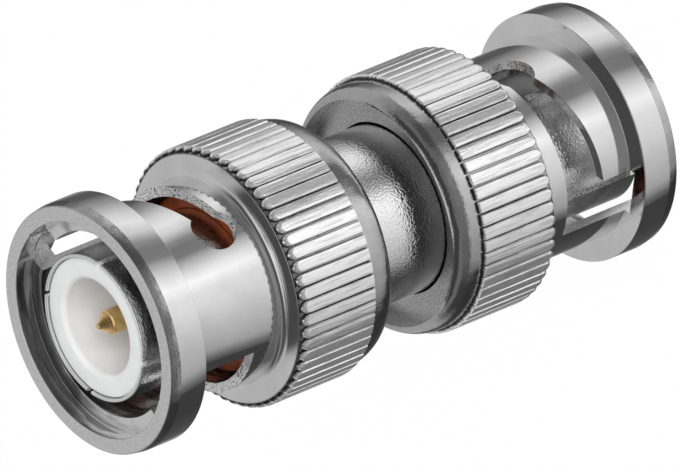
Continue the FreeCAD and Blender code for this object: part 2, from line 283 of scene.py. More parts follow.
@dataclass(frozen=True)
class Finish:
    """A surface finish with soft patches and fine marks. Scales count per metre.

    Attributes:
        coat: The finish that it makes.
        tint: Colour of the clean surface.
        dull_and_painted_band_tint: Colour in its duller patches. In the bore these patches are drawn out
            into rings and are painted reflection bands.
        patch_edges: Levels of the noise between which a patch fades in.
        patch_squeeze: Scale of the patches' coordinates.
        haze: Roughness added in duller patches.
        metal: Share of the light that the surface mirrors. Its fine roughness scatters the rest.
        turning: Height of the turning marks as a share of the mark depth.
        grain: Height of the grain left by casting, blasting or moulding, in the same way.
        streaks: Height of the streaks that run along the axis, in the same way.
        ripple: Height of the slow unevenness of a hand-polished surface, in the same way.
        recess: Distances from the axis, in metres, between which painted shade on the rib sides, standing in
            for the shade between the ribs, gives way to clean plate.
        mark_depth: Depth of the marks in metres.
        relief: Strength of all marks.
    """

    coat: Coat
    tint: Triple = grey(0.90)
    dull_and_painted_band_tint: Triple = grey(0.82)
    patch_scale: float = 420.0
    patch_edges: tuple[float, float] = (0.35, 0.7)
    patch_squeeze: Triple = (1.0, 1.0, 1.0)
    patch_detail: float = 3.0
    roughness: float = 0.06
    haze: float = 0.04
    metal: float = 1.0
    turning: float = 0.0
    turning_scale: float = 14000.0
    grain: float = 0.0
    grain_scale: float = 16000.0
    grain_detail: float = 2.0
    streaks: float = 0.0
    streak_scale: float = 7000.0
    ripple: float = 0.0
    ripple_scale: float = 900.0
    ripple_detail: float = 1.0
    # Painted shade: below the recess range the colour darkens towards this grey, standing in for the shade
    # in the grooves between the ribs.
    recess: tuple[float, float] | None = None
    painted_groove_shade: float = 0.05
    painted_groove_shade_scale: float = 5000.0
    painted_groove_shade_wander: float = 0.00022
    mark_depth: float = 0.00002
    relief: float = 1.0

    def _marks(self, graph: Graph, place: Sock) -> Value:
        """Height of all marks together."""
        marks = [
            (self.turning, lambda: graph.noise(graph.turned(place), self.turning_scale)),
            (self.grain, lambda: graph.noise(place, self.grain_scale, self.grain_detail)),
            (self.streaks, lambda: graph.noise(graph.squeezed(place, DRAWN_OUT), self.streak_scale)),
            (self.ripple, lambda: graph.noise(place, self.ripple_scale, self.ripple_detail)),
        ]
        total: Value = 0.0
        for height, mark in marks:
            if height > 0:
                total = mark() * height + total
        return total

    def dress(self, graph: Graph, place: Sock) -> dict:
        """Work out the inputs of the Principled shader.

        Args:
            graph: The material's graph, to add nodes to.
            place: The object's own coordinates, in metres.

        Returns:
            Values or sockets by the name of the Principled shader's input.
        """
        # In the bore finish the patches are drawn out into rings round the axis, which paint reflection
        # bands.
        drawn = graph.squeezed(place, self.patch_squeeze)
        patches = graph.ramp(graph.noise(drawn, self.patch_scale, self.patch_detail), *self.patch_edges)
        colour = graph.blend(patches, self.tint, self.dull_and_painted_band_tint)
        # Painted shade: surfaces close to the axis, the lower sides of the grip ribs, are darkened as if by
        # the shade between the ribs.
        if self.recess is not None:
            lie = graph.squeezed(place, DRAWN_OUT)
            uneven = graph.noise(lie, self.painted_groove_shade_scale, self.patch_detail) - 0.5
            radius = graph.from_axis(place)[0] + uneven * self.painted_groove_shade_wander
            colour = graph.blend(graph.ramp(radius, *self.recess), grey(self.painted_groove_shade), colour)
        return {
            "Base Color": colour,
            "Metallic": self.metal,
            "Roughness": patches * self.haze + self.roughness,
            "Normal": graph.bump(self._marks(graph, place), self.mark_depth, self.relief),
        }

    def material(self) -> bpy.types.Material:
        """Make the material."""
        made, graph = new_material(self.coat.value)
        place = graph.node("ShaderNodeTexCoord", None, None, "Object")
        surface = graph.node("ShaderNodeBsdfPrincipled", None, self.dress(graph, place))
        graph.node("ShaderNodeOutputMaterial", None, {"Surface": surface})
        return made


FINISHES = {finish.coat: finish for finish in (
    Finish(Coat.POLISHED, turning=0.04),
    Finish(
        Coat.SATIN, dull_and_painted_band_tint=grey(0.74), patch_scale=9000.0, roughness=0.22, haze=0.06,
        turning=0.05, grain=0.3, grain_scale=11000.0,
    ),
    Finish(Coat.TURNED, roughness=0.13, haze=0.05, turning=0.22, grain=0.05),
    # Painted reflection: the bore's dark patch rings stand in for the reflections of the sleeve and
    # surroundings in the turned bore.
    Finish(
        Coat.BORE, dull_and_painted_band_tint=grey(0.34), patch_scale=2400.0, patch_edges=(0.46, 0.56),
        patch_squeeze=(0.1, 0.1, 1.0), roughness=0.1, metal=0.95, turning=0.5, ripple=0.35,
    ),
    Finish(Coat.CAST, tint=grey(0.98), dull_and_painted_band_tint=grey(0.92), grain=1.3, grain_scale=7500.0, ripple=0.5),
    # Painted shade: this nickel is tinted darker than the polished plate, standing in for the dark
    # reflections on the rim; its rippled polish is real relief.
    Finish(Coat.SHADED_RIM, tint=grey(0.6), dull_and_painted_band_tint=grey(0.5), grain=0.5, grain_scale=8000.0, ripple=2.6),
    # The recess range paints shade on the lower sides of the grip ribs.
    Finish(
        Coat.LAND, tint=grey(0.98), dull_and_painted_band_tint=grey(0.8), patch_scale=6000.0, patch_edges=(0.5, 0.64),
        patch_squeeze=(1.0, 1.0, 0.08), roughness=0.12, haze=0.06, metal=0.8,
        grain=0.4, grain_scale=9000.0, streaks=0.8, recess=(0.00704, 0.00717),
    ),
    Finish(
        Coat.CUT, tint=grey(0.98), dull_and_painted_band_tint=grey(0.08), patch_scale=10000.0, patch_edges=(0.53, 0.62),
        roughness=0.18, metal=0.7, grain=1.0, grain_scale=9000.0,
    ),
    Finish(
        Coat.FROSTED, tint=grey(0.72), dull_and_painted_band_tint=grey(0.34), patch_scale=12000.0, roughness=0.28,
        grain=0.9, grain_scale=12000.0,
    ),
    Finish(Coat.SPRING, tint=grey(0.62), dull_and_painted_band_tint=grey(0.5), roughness=0.3, turning=0.2),
    Finish(
        Coat.GOLD, tint=(0.97, 0.70, 0.33), dull_and_painted_band_tint=(0.78, 0.50, 0.20), patch_scale=1500.0,
        patch_detail=2.0, patch_edges=(0.4, 0.65), roughness=0.1, haze=0.08,
        turning=1.0, turning_scale=16000.0, relief=0.5,
    ),
    Finish(
        Coat.INSULATION, tint=(0.88, 0.885, 0.89), dull_and_painted_band_tint=(0.83, 0.835, 0.84), patch_scale=700.0,
        roughness=0.42, haze=0.08, metal=0.0, turning=1.0, turning_scale=9000.0, relief=0.25,
    ),
    Finish(
        Coat.RUBBER, tint=(0.42, 0.08, 0.012), dull_and_painted_band_tint=(0.29, 0.052, 0.008), patch_scale=1300.0,
        patch_detail=4.0, roughness=0.38, haze=0.15, metal=0.0,
        grain=1.0, grain_scale=12000.0, grain_detail=3.0, mark_depth=0.00003, relief=0.4,
    ),
)}


# Mesh tools


def polar(radius: float, angle: float, height: float) -> Triple:
    """Point at a distance from the axis and an angle in radians round it."""
    return (radius * math.cos(angle), radius * math.sin(angle), height)


@dataclass(frozen=True)
class Corner:
    """One corner of a turned outline.

    Attributes:
        radius: Distance from the axis, in millimetres.
        height: Height above the middle of the adapter, in millimetres.
        rounding: Radius of the corner, in millimetres.
        coat: Place in the piece's list of finishes, for the surface that arrives here.
    """

    radius: float
    height: float
    rounding: float = 0.0
    coat: int = 0


ROUNDING_STEPS = 5
FINE_STEPS = 10
LARGE_ROUNDING = 0.3
LONGEST_REACH = 0.45
ON_AXIS = 1e-9


def rounded_outline(corners: Sequence[Corner]) -> list[tuple[float, float, int]]:
    """Replace the corners of a closed outline by arcs.

    Args:
        corners: The corners in order round the outline.

    Returns:
        Points as (radius, height, finish of the stretch that arrives at the point).
    """
    points: list[tuple[float, float, int]] = []
    for index, corner in enumerate(corners):
        previous, following = corners[index - 1], corners[(index + 1) % len(corners)]
        here = Vector((corner.radius, corner.height))
        back = Vector((previous.radius, previous.height)) - here
        forth = Vector((following.radius, following.height)) - here
        if corner.rounding <= 0 or back.length == 0 or forth.length == 0:
            points.append((here.x, here.y, corner.coat))
            continue
        back_way, forth_way = back.normalized(), forth.normalized()
        slope = math.tan(back_way.angle(forth_way) / 2)
        longest = min(back.length, forth.length) * LONGEST_REACH
        reach = min(corner.rounding / slope, longest)
        radius = reach * slope
        span = math.sin(back_way.angle(forth_way) / 2)
        centre = here + (back_way + forth_way).normalized() * (radius / span)
        start, finish = here + back_way * reach - centre, here + forth_way * reach - centre
        sweep = start.angle_signed(finish)
        steps = FINE_STEPS if corner.rounding >= LARGE_ROUNDING else ROUNDING_STEPS
        for step in range(steps + 1):
            arm = start.copy()
            arm.rotate(Matrix.Rotation(-sweep * step / steps, 2))
            coat = corner.coat if step == 0 else following.coat
            points.append((centre.x + arm.x, centre.y + arm.y, coat))
    return points


def closed_mesh(shape: bmesh.types.BMesh, name: str) -> bpy.types.Mesh:
    """Turn the faces of a closed shape outwards and make it a mesh."""
    bmesh.ops.recalc_face_normals(shape, faces=shape.faces)
    mesh = bpy.data.meshes.new(name)
    shape.to_mesh(mesh)
    shape.free()
    return mesh


def turned_mesh(name: str, corners: Sequence[Corner], segments: int) -> bpy.types.Mesh:
    """Revolve a closed outline about the axis.

    Args:
        name: Name of the mesh.
        corners: The outline's corners.
        segments: Number of steps round the axis.

    Returns:
        A closed mesh in millimetres, with a finish number on each face.
    """
    outline = rounded_outline(corners)
    shape = bmesh.new()
    rings: list[list[bmesh.types.BMVert]] = []
    for radius, height, _ in outline:
        if radius < ON_AXIS:
            rings.append([shape.verts.new((0, 0, height))] * segments)
        else:
            points = (polar(radius, FULL_TURN * step / segments, height) for step in range(segments))
            rings.append([shape.verts.new(point) for point in points])
    for index, (_, _, coat) in enumerate(outline):
        first, second = rings[index - 1], rings[index]
        for step in range(segments):
            after = (step + 1) % segments
            distinct = list(dict.fromkeys([first[step], first[after], second[after], second[step]]))
            if len(distinct) > 2:
                shape.faces.new(distinct).material_index = coat
    return closed_mesh(shape, name)


def upright_section(inner: float, outer: float, first: float, second: float, angle: float) -> list[Triple]:
    """Corners of a rectangle that stands on a radius: inner and outer at one height, then at the other."""
    corners = [(inner, first), (outer, first), (outer, second), (inner, second)]
    return [polar(radius, angle, height) for radius, height in corners]


def lofted_mesh(
    name: str,
    sections: Sequence[Sequence[Triple]],
    coats: Sequence[int],
    ring: bool = False,
) -> bpy.types.Mesh:
    """Join closed sections in a row by walls.

    Args:
        name: Name of the mesh.
        sections: The points of each section, as many in each.
        coats: The finish number of each wall. The ends take the last one.
        ring: Whether the last section joins the first, so that there are no ends.

    Returns:
        A closed mesh in millimetres.
    """
    shape = bmesh.new()
    rows = [[shape.verts.new(point) for point in section] for section in sections]
    for first, second in zip(rows, rows[1:] + (rows[:1] if ring else [])):
        for side, coat in enumerate(coats):
            after = (side + 1) % len(coats)
            wall = shape.faces.new([first[side], first[after], second[after], second[side]])
            wall.material_index = coat
    if not ring:
        for end in (rows[0], rows[-1][::-1]):
            shape.faces.new(end).material_index = coats[-1]
    return closed_mesh(shape, name)


def block_mesh(name: str, low: Vector, high: Vector, coat: int) -> bpy.types.Mesh:
    """Make a box between two corners, in millimetres, with one finish number."""
    shape = bmesh.new()
    bmesh.ops.create_cube(shape, size=1.0)
    place = Matrix.Translation((low + high) / 2) @ Matrix.Diagonal((*(high - low), 1.0))
    bmesh.ops.transform(shape, matrix=place, verts=shape.verts)
    for face in shape.faces:
        face.material_index = coat
    return closed_mesh(shape, name)


def new_object(name: str, mesh: bpy.types.Mesh) -> bpy.types.Object:
    """Put a mesh in the scene."""
    made = bpy.data.objects.new(name, mesh)
    bpy.context.scene.collection.objects.link(made)
    return made


class Wardrobe:
    """Makes each finish's material once and hands it out."""

    def __init__(self) -> None:
        """Start with no material made."""
        self.made: dict[Coat, bpy.types.Material] = {}

    def get(self, coat: Coat) -> bpy.types.Material:
        """Give the material of a finish."""
        if coat not in self.made:
            self.made[coat] = FINISHES[coat].material()
        return self.made[coat]

    def clothe(self, name: str, mesh: bpy.types.Mesh, *coats: Coat) -> bpy.types.Object:
        """Put a mesh in the scene with the materials of its finishes, in their order."""
        for coat in coats:
            mesh.materials.append(self.get(coat))
        return new_object(name, mesh)


def plain_mesh(piece: bpy.types.Object, name: str) -> bpy.types.Mesh:
    """Bake a piece's modifiers into a new plain mesh."""
    graph = bpy.context.evaluated_depsgraph_get()
    mesh = bpy.data.meshes.new_from_object(piece.evaluated_get(graph), depsgraph=graph)
    mesh.name = name
    return mesh


def cut_away(piece: bpy.types.Object, cutters: Sequence[bpy.types.Mesh]) -> None:
    """Cut closed meshes out of a piece, one after another.

    Args:
        piece: The piece to cut. Its mesh is replaced.
        cutters: Meshes in the piece's own place, with the finish numbers of their walls.
    """
    for number, cutter in enumerate(cutters):
        tool = new_object(f"{piece.name}_cutter_{number}", cutter)
        for material in piece.data.materials:
            tool.data.materials.append(material)
        step = piece.modifiers.new("cut", "BOOLEAN")
        step.operation = "DIFFERENCE"
        step.solver = "EXACT"
        step.object = tool
        mesh = plain_mesh(piece, piece.data.name)
        piece.modifiers.remove(step)
        piece.data = mesh
        bpy.data.objects.remove(tool)


def tidy_corners(mesh: bpy.types.Mesh, distance: float = 0.003) -> None:
    """Merge corners that a cut left closer together than a distance in millimetres.

    Args:
        mesh: The mesh, in millimetres.
        distance: The least distance between two corners.
    """
    shape = bmesh.new()
    shape.from_mesh(mesh)
    bmesh.ops.remove_doubles(shape, verts=shape.verts, dist=distance)
    bmesh.ops.dissolve_degenerate(shape, edges=shape.edges, dist=distance / 2)
    shape.to_mesh(mesh)
    shape.free()


def smooth(mesh: bpy.types.Mesh, angle: float = 35.0) -> None:
    """Shade a mesh smooth, apart from edges sharper than an angle in degrees."""
    mesh.polygons.foreach_set("use_smooth", [True] * len(mesh.polygons))
    mesh.set_sharp_from_angle(angle=math.radians(angle))
    mesh.update()


def settle(piece: bpy.types.Object, place: Matrix, body: str, coat: Coat, nodes: Sequence[str] = ()) -> None:
    """Set a finished piece in the adapter and hang it on the empty of its body.

    Args:
        piece: The piece, drawn in millimetres.
        place: Its place in the adapter.
        body: The body that it rides on.
        coat: Its main finish. Not used.
        nodes: The solids that it stands for.
    """
    tidy_corners(piece.data)
    piece.data.transform(place)
    smooth(piece.data)
    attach(piece, body)
    if nodes:
        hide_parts(*nodes)
    LOG.info("%s: %d faces on %s", piece.name, len(piece.data.polygons), body)


class RoundRow:
    """A geometry node tree that repeats its input mesh evenly round the axis."""

    INPUTS = {"Count": "NodeSocketInt", "Narrowest": "NodeSocketFloat", "Finish": "NodeSocketMaterial"}
    SEED = 7

    def __init__(self, name: str) -> None:
        """Build the tree.

        Args:
            name: Name of the node group.
        """
        self.tree = bpy.data.node_groups.new(name, "GeometryNodeTree")
        sockets = self.tree.interface
        for way in ("INPUT", "OUTPUT"):
            sockets.new_socket("Geometry", in_out=way, socket_type="NodeSocketGeometry")
        self.keys = {
            title: sockets.new_socket(title, in_out="INPUT", socket_type=kind).identifier
            for title, kind in self.INPUTS.items()
        }
        graph = Graph(self.tree)
        copied, count, narrowest, finish = (
            graph.node("NodeGroupInput", None, None, title) for title in ("Geometry", *self.INPUTS)
        )
        turn = graph.node("GeometryNodeInputIndex") / count * FULL_TURN
        limits = {2: narrowest, 3: 1.0, "Seed": self.SEED}
        width = graph.node("FunctionNodeRandomValue", {"data_type": "FLOAT"}, limits, 1)
        spread = graph.node("GeometryNodeInstanceOnPoints", None, {
            "Points": graph.node("GeometryNodePoints", None, {"Count": count}),
            "Instance": copied,
            "Rotation": graph.node("ShaderNodeCombineXYZ", None, {"Z": turn}),
            "Scale": graph.node("ShaderNodeCombineXYZ", None, {"X": 1.0, "Y": width, "Z": 1.0}),
        })
        whole = graph.node("GeometryNodeRealizeInstances", None, {0: spread})
        dressed = graph.node("GeometryNodeSetMaterial", None, {"Geometry": whole, "Material": finish})
        graph.node("NodeGroupOutput", None, {0: dressed})

    def spread(
        self,
        piece: bpy.types.Object,
        count: int,
        narrowest: float,
        finish: bpy.types.Material,
    ) -> None:
        """Repeat a piece's mesh round the axis and keep the result as its plain mesh.

        Args:
            piece: The piece that holds one copy.
            count: Number of copies round the axis.
            narrowest: Width of the narrowest copy as a share of the full width.
            finish: Material of the copies.
        """
        step = piece.modifiers.new("round_row", "NODES")
        step.node_group = self.tree
        for title, value in zip(self.INPUTS, (count, narrowest, finish)):
            step[self.keys[title]] = value
        mesh = plain_mesh(piece, piece.data.name)
        piece.modifiers.remove(step)
        piece.data = mesh


# Pieces of a plug


class NutFace(IntEnum):
    """The surfaces of the nut's shell, by their places in NUT_COATS."""

    BARREL = 0
    FRONT = 1
    RIM = 2
    CUT = 3
    BORE = 4
    SHOULDER = 5


NUT_COATS = (Coat.POLISHED, Coat.SATIN, Coat.SHADED_RIM, Coat.CUT, Coat.BORE, Coat.TURNED)


@dataclass
class Maker:
    """What the makers of pieces share. All their sizes are in millimetres, and angles in degrees.

    Attributes:
        side: The end of the adapter.
        half: Half of the adapter's length. Depths count down from the open face, at this height.
    """

    side: Side
    half: float

    def outline(self, *rows: tuple) -> list[Corner]:
        """Closed outline from rows of radius, depth and, where needed, rounding and finish."""
        return [Corner(radius, self.half - depth, *rest) for radius, depth, *rest in rows]

    def place(self, angle: float = 0.0) -> Matrix:
        """Place in the adapter of a piece that is turned about the axis by an angle."""
        flip = Matrix.Rotation(math.pi if self.side is Side.LOWER else 0.0, 4, "X")
        spin = Matrix.Rotation(math.radians(angle), 4, "Z")
        return Matrix.Translation((0, 0, self.half * MM)) @ spin @ flip @ Matrix.Scale(MM, 4)


@dataclass
class CouplingNut(Maker):
    """The coupling nut: flange, slotted barrel, ribbed grip and rear rim.

    Attributes:
        angle: Turn of the first slot's entry about the axis.
        slot_floor: Distance from the axis to which the straight entry is cut.
        slot_turn: Angle from the entry to the detent.
        ramp_front_rise: Depth that the ramp's front wall gains up to the detent.
        slot_reach: Distance that a cut goes on past the barrel's wall.
        rim_bend_share: Share of a quarter turn by which the rear rim bends in.
        rib_fill: Width of the widest rib as a share of its pitch.
        rib_narrowest: Width of the narrowest rib as a share of the widest.
        rib_sink: Depth of a rib's lowest top under the root.
        rib_foot: Depth of its underside under the root.
    """

    angle: float
    flange_radius: float = 6.95
    flange_thickness: float = 2.3
    taper_length: float = 0.6
    taper_drop: float = 0.1
    lead_in_radius: float = 6.0
    lead_in_depth: float = 1.0
    barrel_radius: float = 5.7
    barrel_bore: float = 5.15
    barrel_fillet: float = 0.45
    knurl_face_depth: float = 8.6
    knurl_face_radius: float = 6.9
    knurl_bevel: float = 0.15
    root_radius: float = 6.97
    rib_radius: float = 7.25
    rib_gap: float = 0.03
    rib_sink: float = 0.04
    rib_foot: float = 0.1
    rib_end_depth: float = 13.62
    rib_count: int = 60
    rib_fill: float = 0.97
    rib_narrowest: float = 0.93
    rim_bend_depth: float = 14.05
    rim_bend_share: float = 0.78
    rim_bend_steps: int = 9
    rim_lip_radius: float = 6.49
    rim_depth: float = 15.2
    recess_radius: float = 6.3
    ring_depth: float = 13.34
    cavity_radius: float = 6.0
    shoulder_depth: float = 10.2
    slot_width: float = 2.6
    slot_floor: float = 5.95
    slot_turn: float = 91.8
    ramp_front: float = 4.1
    ramp_front_rise: float = 1.75
    ramp_rear: float = 6.65
    ramp_rear_rise: float = 0.65
    detent_depth: float = 6.3
    detent_radius: float = 1.26
    slot_reach: float = 0.7
    detent_steps: int = 48
    fine_edge: float = 0.05
    face_edge: float = 0.06
    recess_edge: float = 0.07
    taper_edge: float = 0.08
    segments: int = 288

    def _shell(self) -> list[Corner]:
        """Outline of the nut without its ribs and slots."""
        flange, barrel, bore = self.flange_radius, self.barrel_radius, self.barrel_bore
        fine, wide, grip = self.fine_edge, self.face_edge, self.knurl_face_depth
        front, rim, inside = NutFace.FRONT, NutFace.RIM, NutFace.BORE
        return self.outline(
            (flange - self.taper_drop, 0.0, wide, front),
            (flange, self.taper_length, self.taper_edge, rim),
            (flange, self.flange_thickness, fine),
            (barrel, self.flange_thickness, fine),
            (barrel, grip, self.barrel_fillet),
            (self.knurl_face_radius, grip, wide, NutFace.SHOULDER),
            (self.root_radius, grip + self.knurl_bevel, 0.0, rim),
            (self.root_radius, self.rim_bend_depth, 0.0, rim),
            *self._rim_bend(),
            (self.recess_radius, self.rim_depth, self.recess_edge, rim),
            (self.recess_radius, self.ring_depth, 0.0, rim),
            (self.cavity_radius, self.ring_depth, 0.0, inside),
            (self.cavity_radius, self.shoulder_depth, 0.0, inside),
            (bore, self.shoulder_depth, 0.0, inside),
            (bore, self.lead_in_depth, fine, inside),
            (self.lead_in_radius, self.lead_in_depth, fine, inside),
            (self.lead_in_radius, 0.0, wide, inside),
        )

    def _rim_bend(self) -> Iterator[tuple]:
        """Rows of the rounded rear rim."""
        drop = self.root_radius - self.rim_lip_radius
        length = self.rim_depth - self.rim_bend_depth
        bend = math.pi / 2 * self.rim_bend_share
        for step in range(1, self.rim_bend_steps + 1):
            turn = bend * step / self.rim_bend_steps
            share = math.sin(turn) / math.sin(bend)
            fall = (1 - math.cos(turn)) / (1 - math.cos(bend))
            rounding = self.fine_edge if step == self.rim_bend_steps else 0.0
            yield self.root_radius - drop * fall, self.rim_bend_depth + length * share, rounding, NutFace.RIM

    def slot_cutters(self) -> list[bpy.types.Mesh]:
        """Closed meshes of the slots: entry, ramp and detent of each."""
        cutters = []
        for half_turn in (0.0, math.pi):
            for maker in (self._entry, self._ramp, self._detent):
                mesh = maker()
                mesh.transform(Matrix.Rotation(half_turn, 4, "Z"))
                cutters.append(mesh)
        return cutters

    def _entry(self) -> bpy.types.Mesh:
        """The straight entry, open to the front."""
        half = self.slot_width / 2
        low = Vector((self.barrel_bore - self.slot_reach, -half, self.half - self.ramp_rear))
        high = Vector((self.slot_floor, half, self.half + self.slot_reach))
        return block_mesh("entry", low, high, NutFace.FRONT)

    def _ramp(self) -> bpy.types.Mesh:
        """The ramp from the entry to the detent, whose steps fall between those of the barrel."""
        inner, outer = self.barrel_bore - self.slot_reach, self.barrel_radius + self.slot_reach
        turn, stride = math.radians(self.slot_turn), FULL_TURN / self.segments
        sections = []
        for step in range(round(turn / stride) + 2):
            angle = stride * (0.5 - step)
            gain = max(0.0, -angle / turn) ** 2
            front = self.half - self.ramp_front - self.ramp_front_rise * gain
            rear = self.half - self.ramp_rear - self.ramp_rear_rise * gain
            sections.append(upright_section(inner, outer, front, rear, angle))
        coats = (NutFace.BORE, NutFace.CUT, NutFace.CUT, NutFace.CUT)
        return lofted_mesh("ramp", sections, coats)

    def _detent(self) -> bpy.types.Mesh:
        """The round seat at the end of the ramp."""
        shape = bmesh.new()
        bmesh.ops.create_cone(
            shape,
            cap_ends=True,
            segments=self.detent_steps,
            radius1=self.detent_radius,
            radius2=self.detent_radius,
            depth=self.barrel_radius,
        )
        lie = Matrix.Rotation(math.pi / 2, 4, "Y")
        out = Matrix.Translation((self.barrel_radius, 0, self.half - self.detent_depth))
        turn = Matrix.Rotation(-math.radians(self.slot_turn), 4, "Z")
        bmesh.ops.transform(shape, matrix=turn @ out @ lie, verts=shape.verts)
        for face in shape.faces:
            face.material_index = NutFace.CUT
        return closed_mesh(shape, "detent")

    def rib(self) -> bpy.types.Mesh:
        """One rib of the grip: a flat land with a rounded front end and soft edges."""
        outwards = (0.4, 0.68, 0.8, 0.9, 0.97, 1)
        across = [*(-share for share in reversed(outwards)), 0, *outwards]
        nose = (0, 0.01, 0.02, 0.035, 0.05, 0.065, 0.08, 0.1, 0.12, 0.15)
        along = (*nose, 0.3, 0.5, 0.7, 0.9, 0.95, 0.97, 0.985, 1)
        half = math.pi / self.rib_count * self.rib_fill
        front, rear = self.knurl_face_depth + self.rib_gap, self.rib_end_depth
        low, floor = self.root_radius - self.rib_sink, self.root_radius - self.rib_foot
        sections = []
        for place in along:
            depth = front + (rear - front) * place
            height = self.half - depth
            top = []
            for share in across:
                rise = (self.rib_radius - low) * self._rib_rise(share, depth, front, rear)
                top.append(polar(low + rise, half * share, height))
            foot = [polar(floor, half * share, height) for share in reversed(across)]
            sections.append(top + foot)
        return lofted_mesh("rib", sections, [0] * len(sections[0]))

    @staticmethod
    def _rib_rise(share: float, depth: float, front: float, rear: float) -> float:
        """Height of a rib as a share of the full height.

        Args:
            share: Place across the rib, from -1 to 1.
            depth: Depth behind the open face.
            front: Depth of the rib's front end.
            rear: Depth of the rib's rear end.

        Returns:
            A number from 0 at the root to 1 on the land.
        """
        flat, arch, arch_power, front_slope, rear_slope = 0.74, 0.32, 2.4, 0.3, 0.1
        side = max(0.0, (abs(share) - flat) / (1 - flat))
        crown = math.sqrt(max(0.0, 1 - side ** 2))
        start = front + arch * abs(share) ** arch_power
        rise = min(1.0, max(0.0, (depth - start) / front_slope))
        fall = min(1.0, max(0.0, (rear - depth) / rear_slope))
        return crown * math.sqrt(1 - (1 - rise) ** 2) * math.sqrt(1 - (1 - fall) ** 2)

    def make(self, wardrobe: Wardrobe, row: RoundRow) -> None:
        """Build and dress the nut and its ribs.

        Args:
            wardrobe: Gives the materials.
            row: Repeats the rib round the grip.
        """
        side, place = self.side.value, self.place(self.angle)
        turned = turned_mesh("nut_shell", self._shell(), self.segments)
        shell = wardrobe.clothe(f"{side}_nut_shell", turned, *NUT_COATS)
        cut_away(shell, self.slot_cutters())
        settle(shell, place, f"{side}_nut", Coat.POLISHED, [f"{side}_bayonet_nut"])
        ribs = new_object(f"{side}_grip_ribs", self.rib())
        row.spread(ribs, self.rib_count, self.rib_narrowest, wardrobe.get(Coat.LAND))
        settle(ribs, place, f"{side}_nut", Coat.LAND)


@dataclass
class ContactSleeve(Maker):
    """The sprung outer contact, slit in four at its tip.

    Attributes:
        angle: Turn of the slits about the axis.
        seat_radius: Radius of the step in which the insulator's lip lies.
        spigot_radius: Radius of the tail that is pressed into the centre body.
    """

    angle: float
    tip_depth: float = 0.35
    tip_edge: float = 0.1
    radius: float = 4.1
    bore: float = 3.7
    flange_radius: float = 5.9
    flange_depth: float = 10.22
    flange_thickness: float = 1.2
    spigot_radius: float = 3.9
    spigot_bore: float = 3.2
    spigot_length: float = 3.0
    seat_radius: float = 3.9
    seat_depth: float = 0.5
    seat_edge: float = 0.03
    slit_width: float = 0.35
    slit_length: float = 5.2
    slit_reach: float = 1.0
    segments: int = 240

    def _sleeve(self) -> list[Corner]:
        """Outline of the sleeve without its slits."""
        flange_rear = self.flange_depth + self.flange_thickness
        spigot_end = flange_rear + self.spigot_length
        seat_end = self.tip_depth + self.seat_depth
        return self.outline(
            (self.radius, self.tip_depth, self.tip_edge),
            (self.radius, self.flange_depth),
            (self.flange_radius, self.flange_depth),
            (self.flange_radius, flange_rear),
            (self.spigot_radius, flange_rear),
            (self.spigot_radius, spigot_end),
            (self.spigot_bore, spigot_end),
            (self.spigot_bore, flange_rear),
            (self.bore, flange_rear),
            (self.bore, seat_end),
            (self.seat_radius, seat_end),
            (self.seat_radius, self.tip_depth, self.seat_edge),
        )

    def slit_cutters(self) -> Iterator[bpy.types.Mesh]:
        """Closed meshes of the two slits across the sleeve."""
        tip, half, reach = self.half - self.tip_depth, self.slit_width / 2, self.radius + self.slit_reach
        for turn in (0.0, math.pi / 2):
            low = Vector((-reach, -half, tip - self.slit_length))
            high = Vector((reach, half, tip + self.slit_reach))
            cutter = block_mesh("slit", low, high, 1)
            cutter.transform(Matrix.Rotation(turn, 4, "Z"))
            yield cutter

    def make(self, wardrobe: Wardrobe) -> None:
        """Build and dress the sleeve."""
        side = self.side.value
        turned = turned_mesh("contact_sleeve", self._sleeve(), self.segments)
        sleeve = wardrobe.clothe(f"{side}_contact_sleeve", turned, Coat.CAST, Coat.CUT)
        cut_away(sleeve, list(self.slit_cutters()))
        settle(sleeve, self.place(self.angle), "core", Coat.CAST, [f"{side}_outer_contact"])


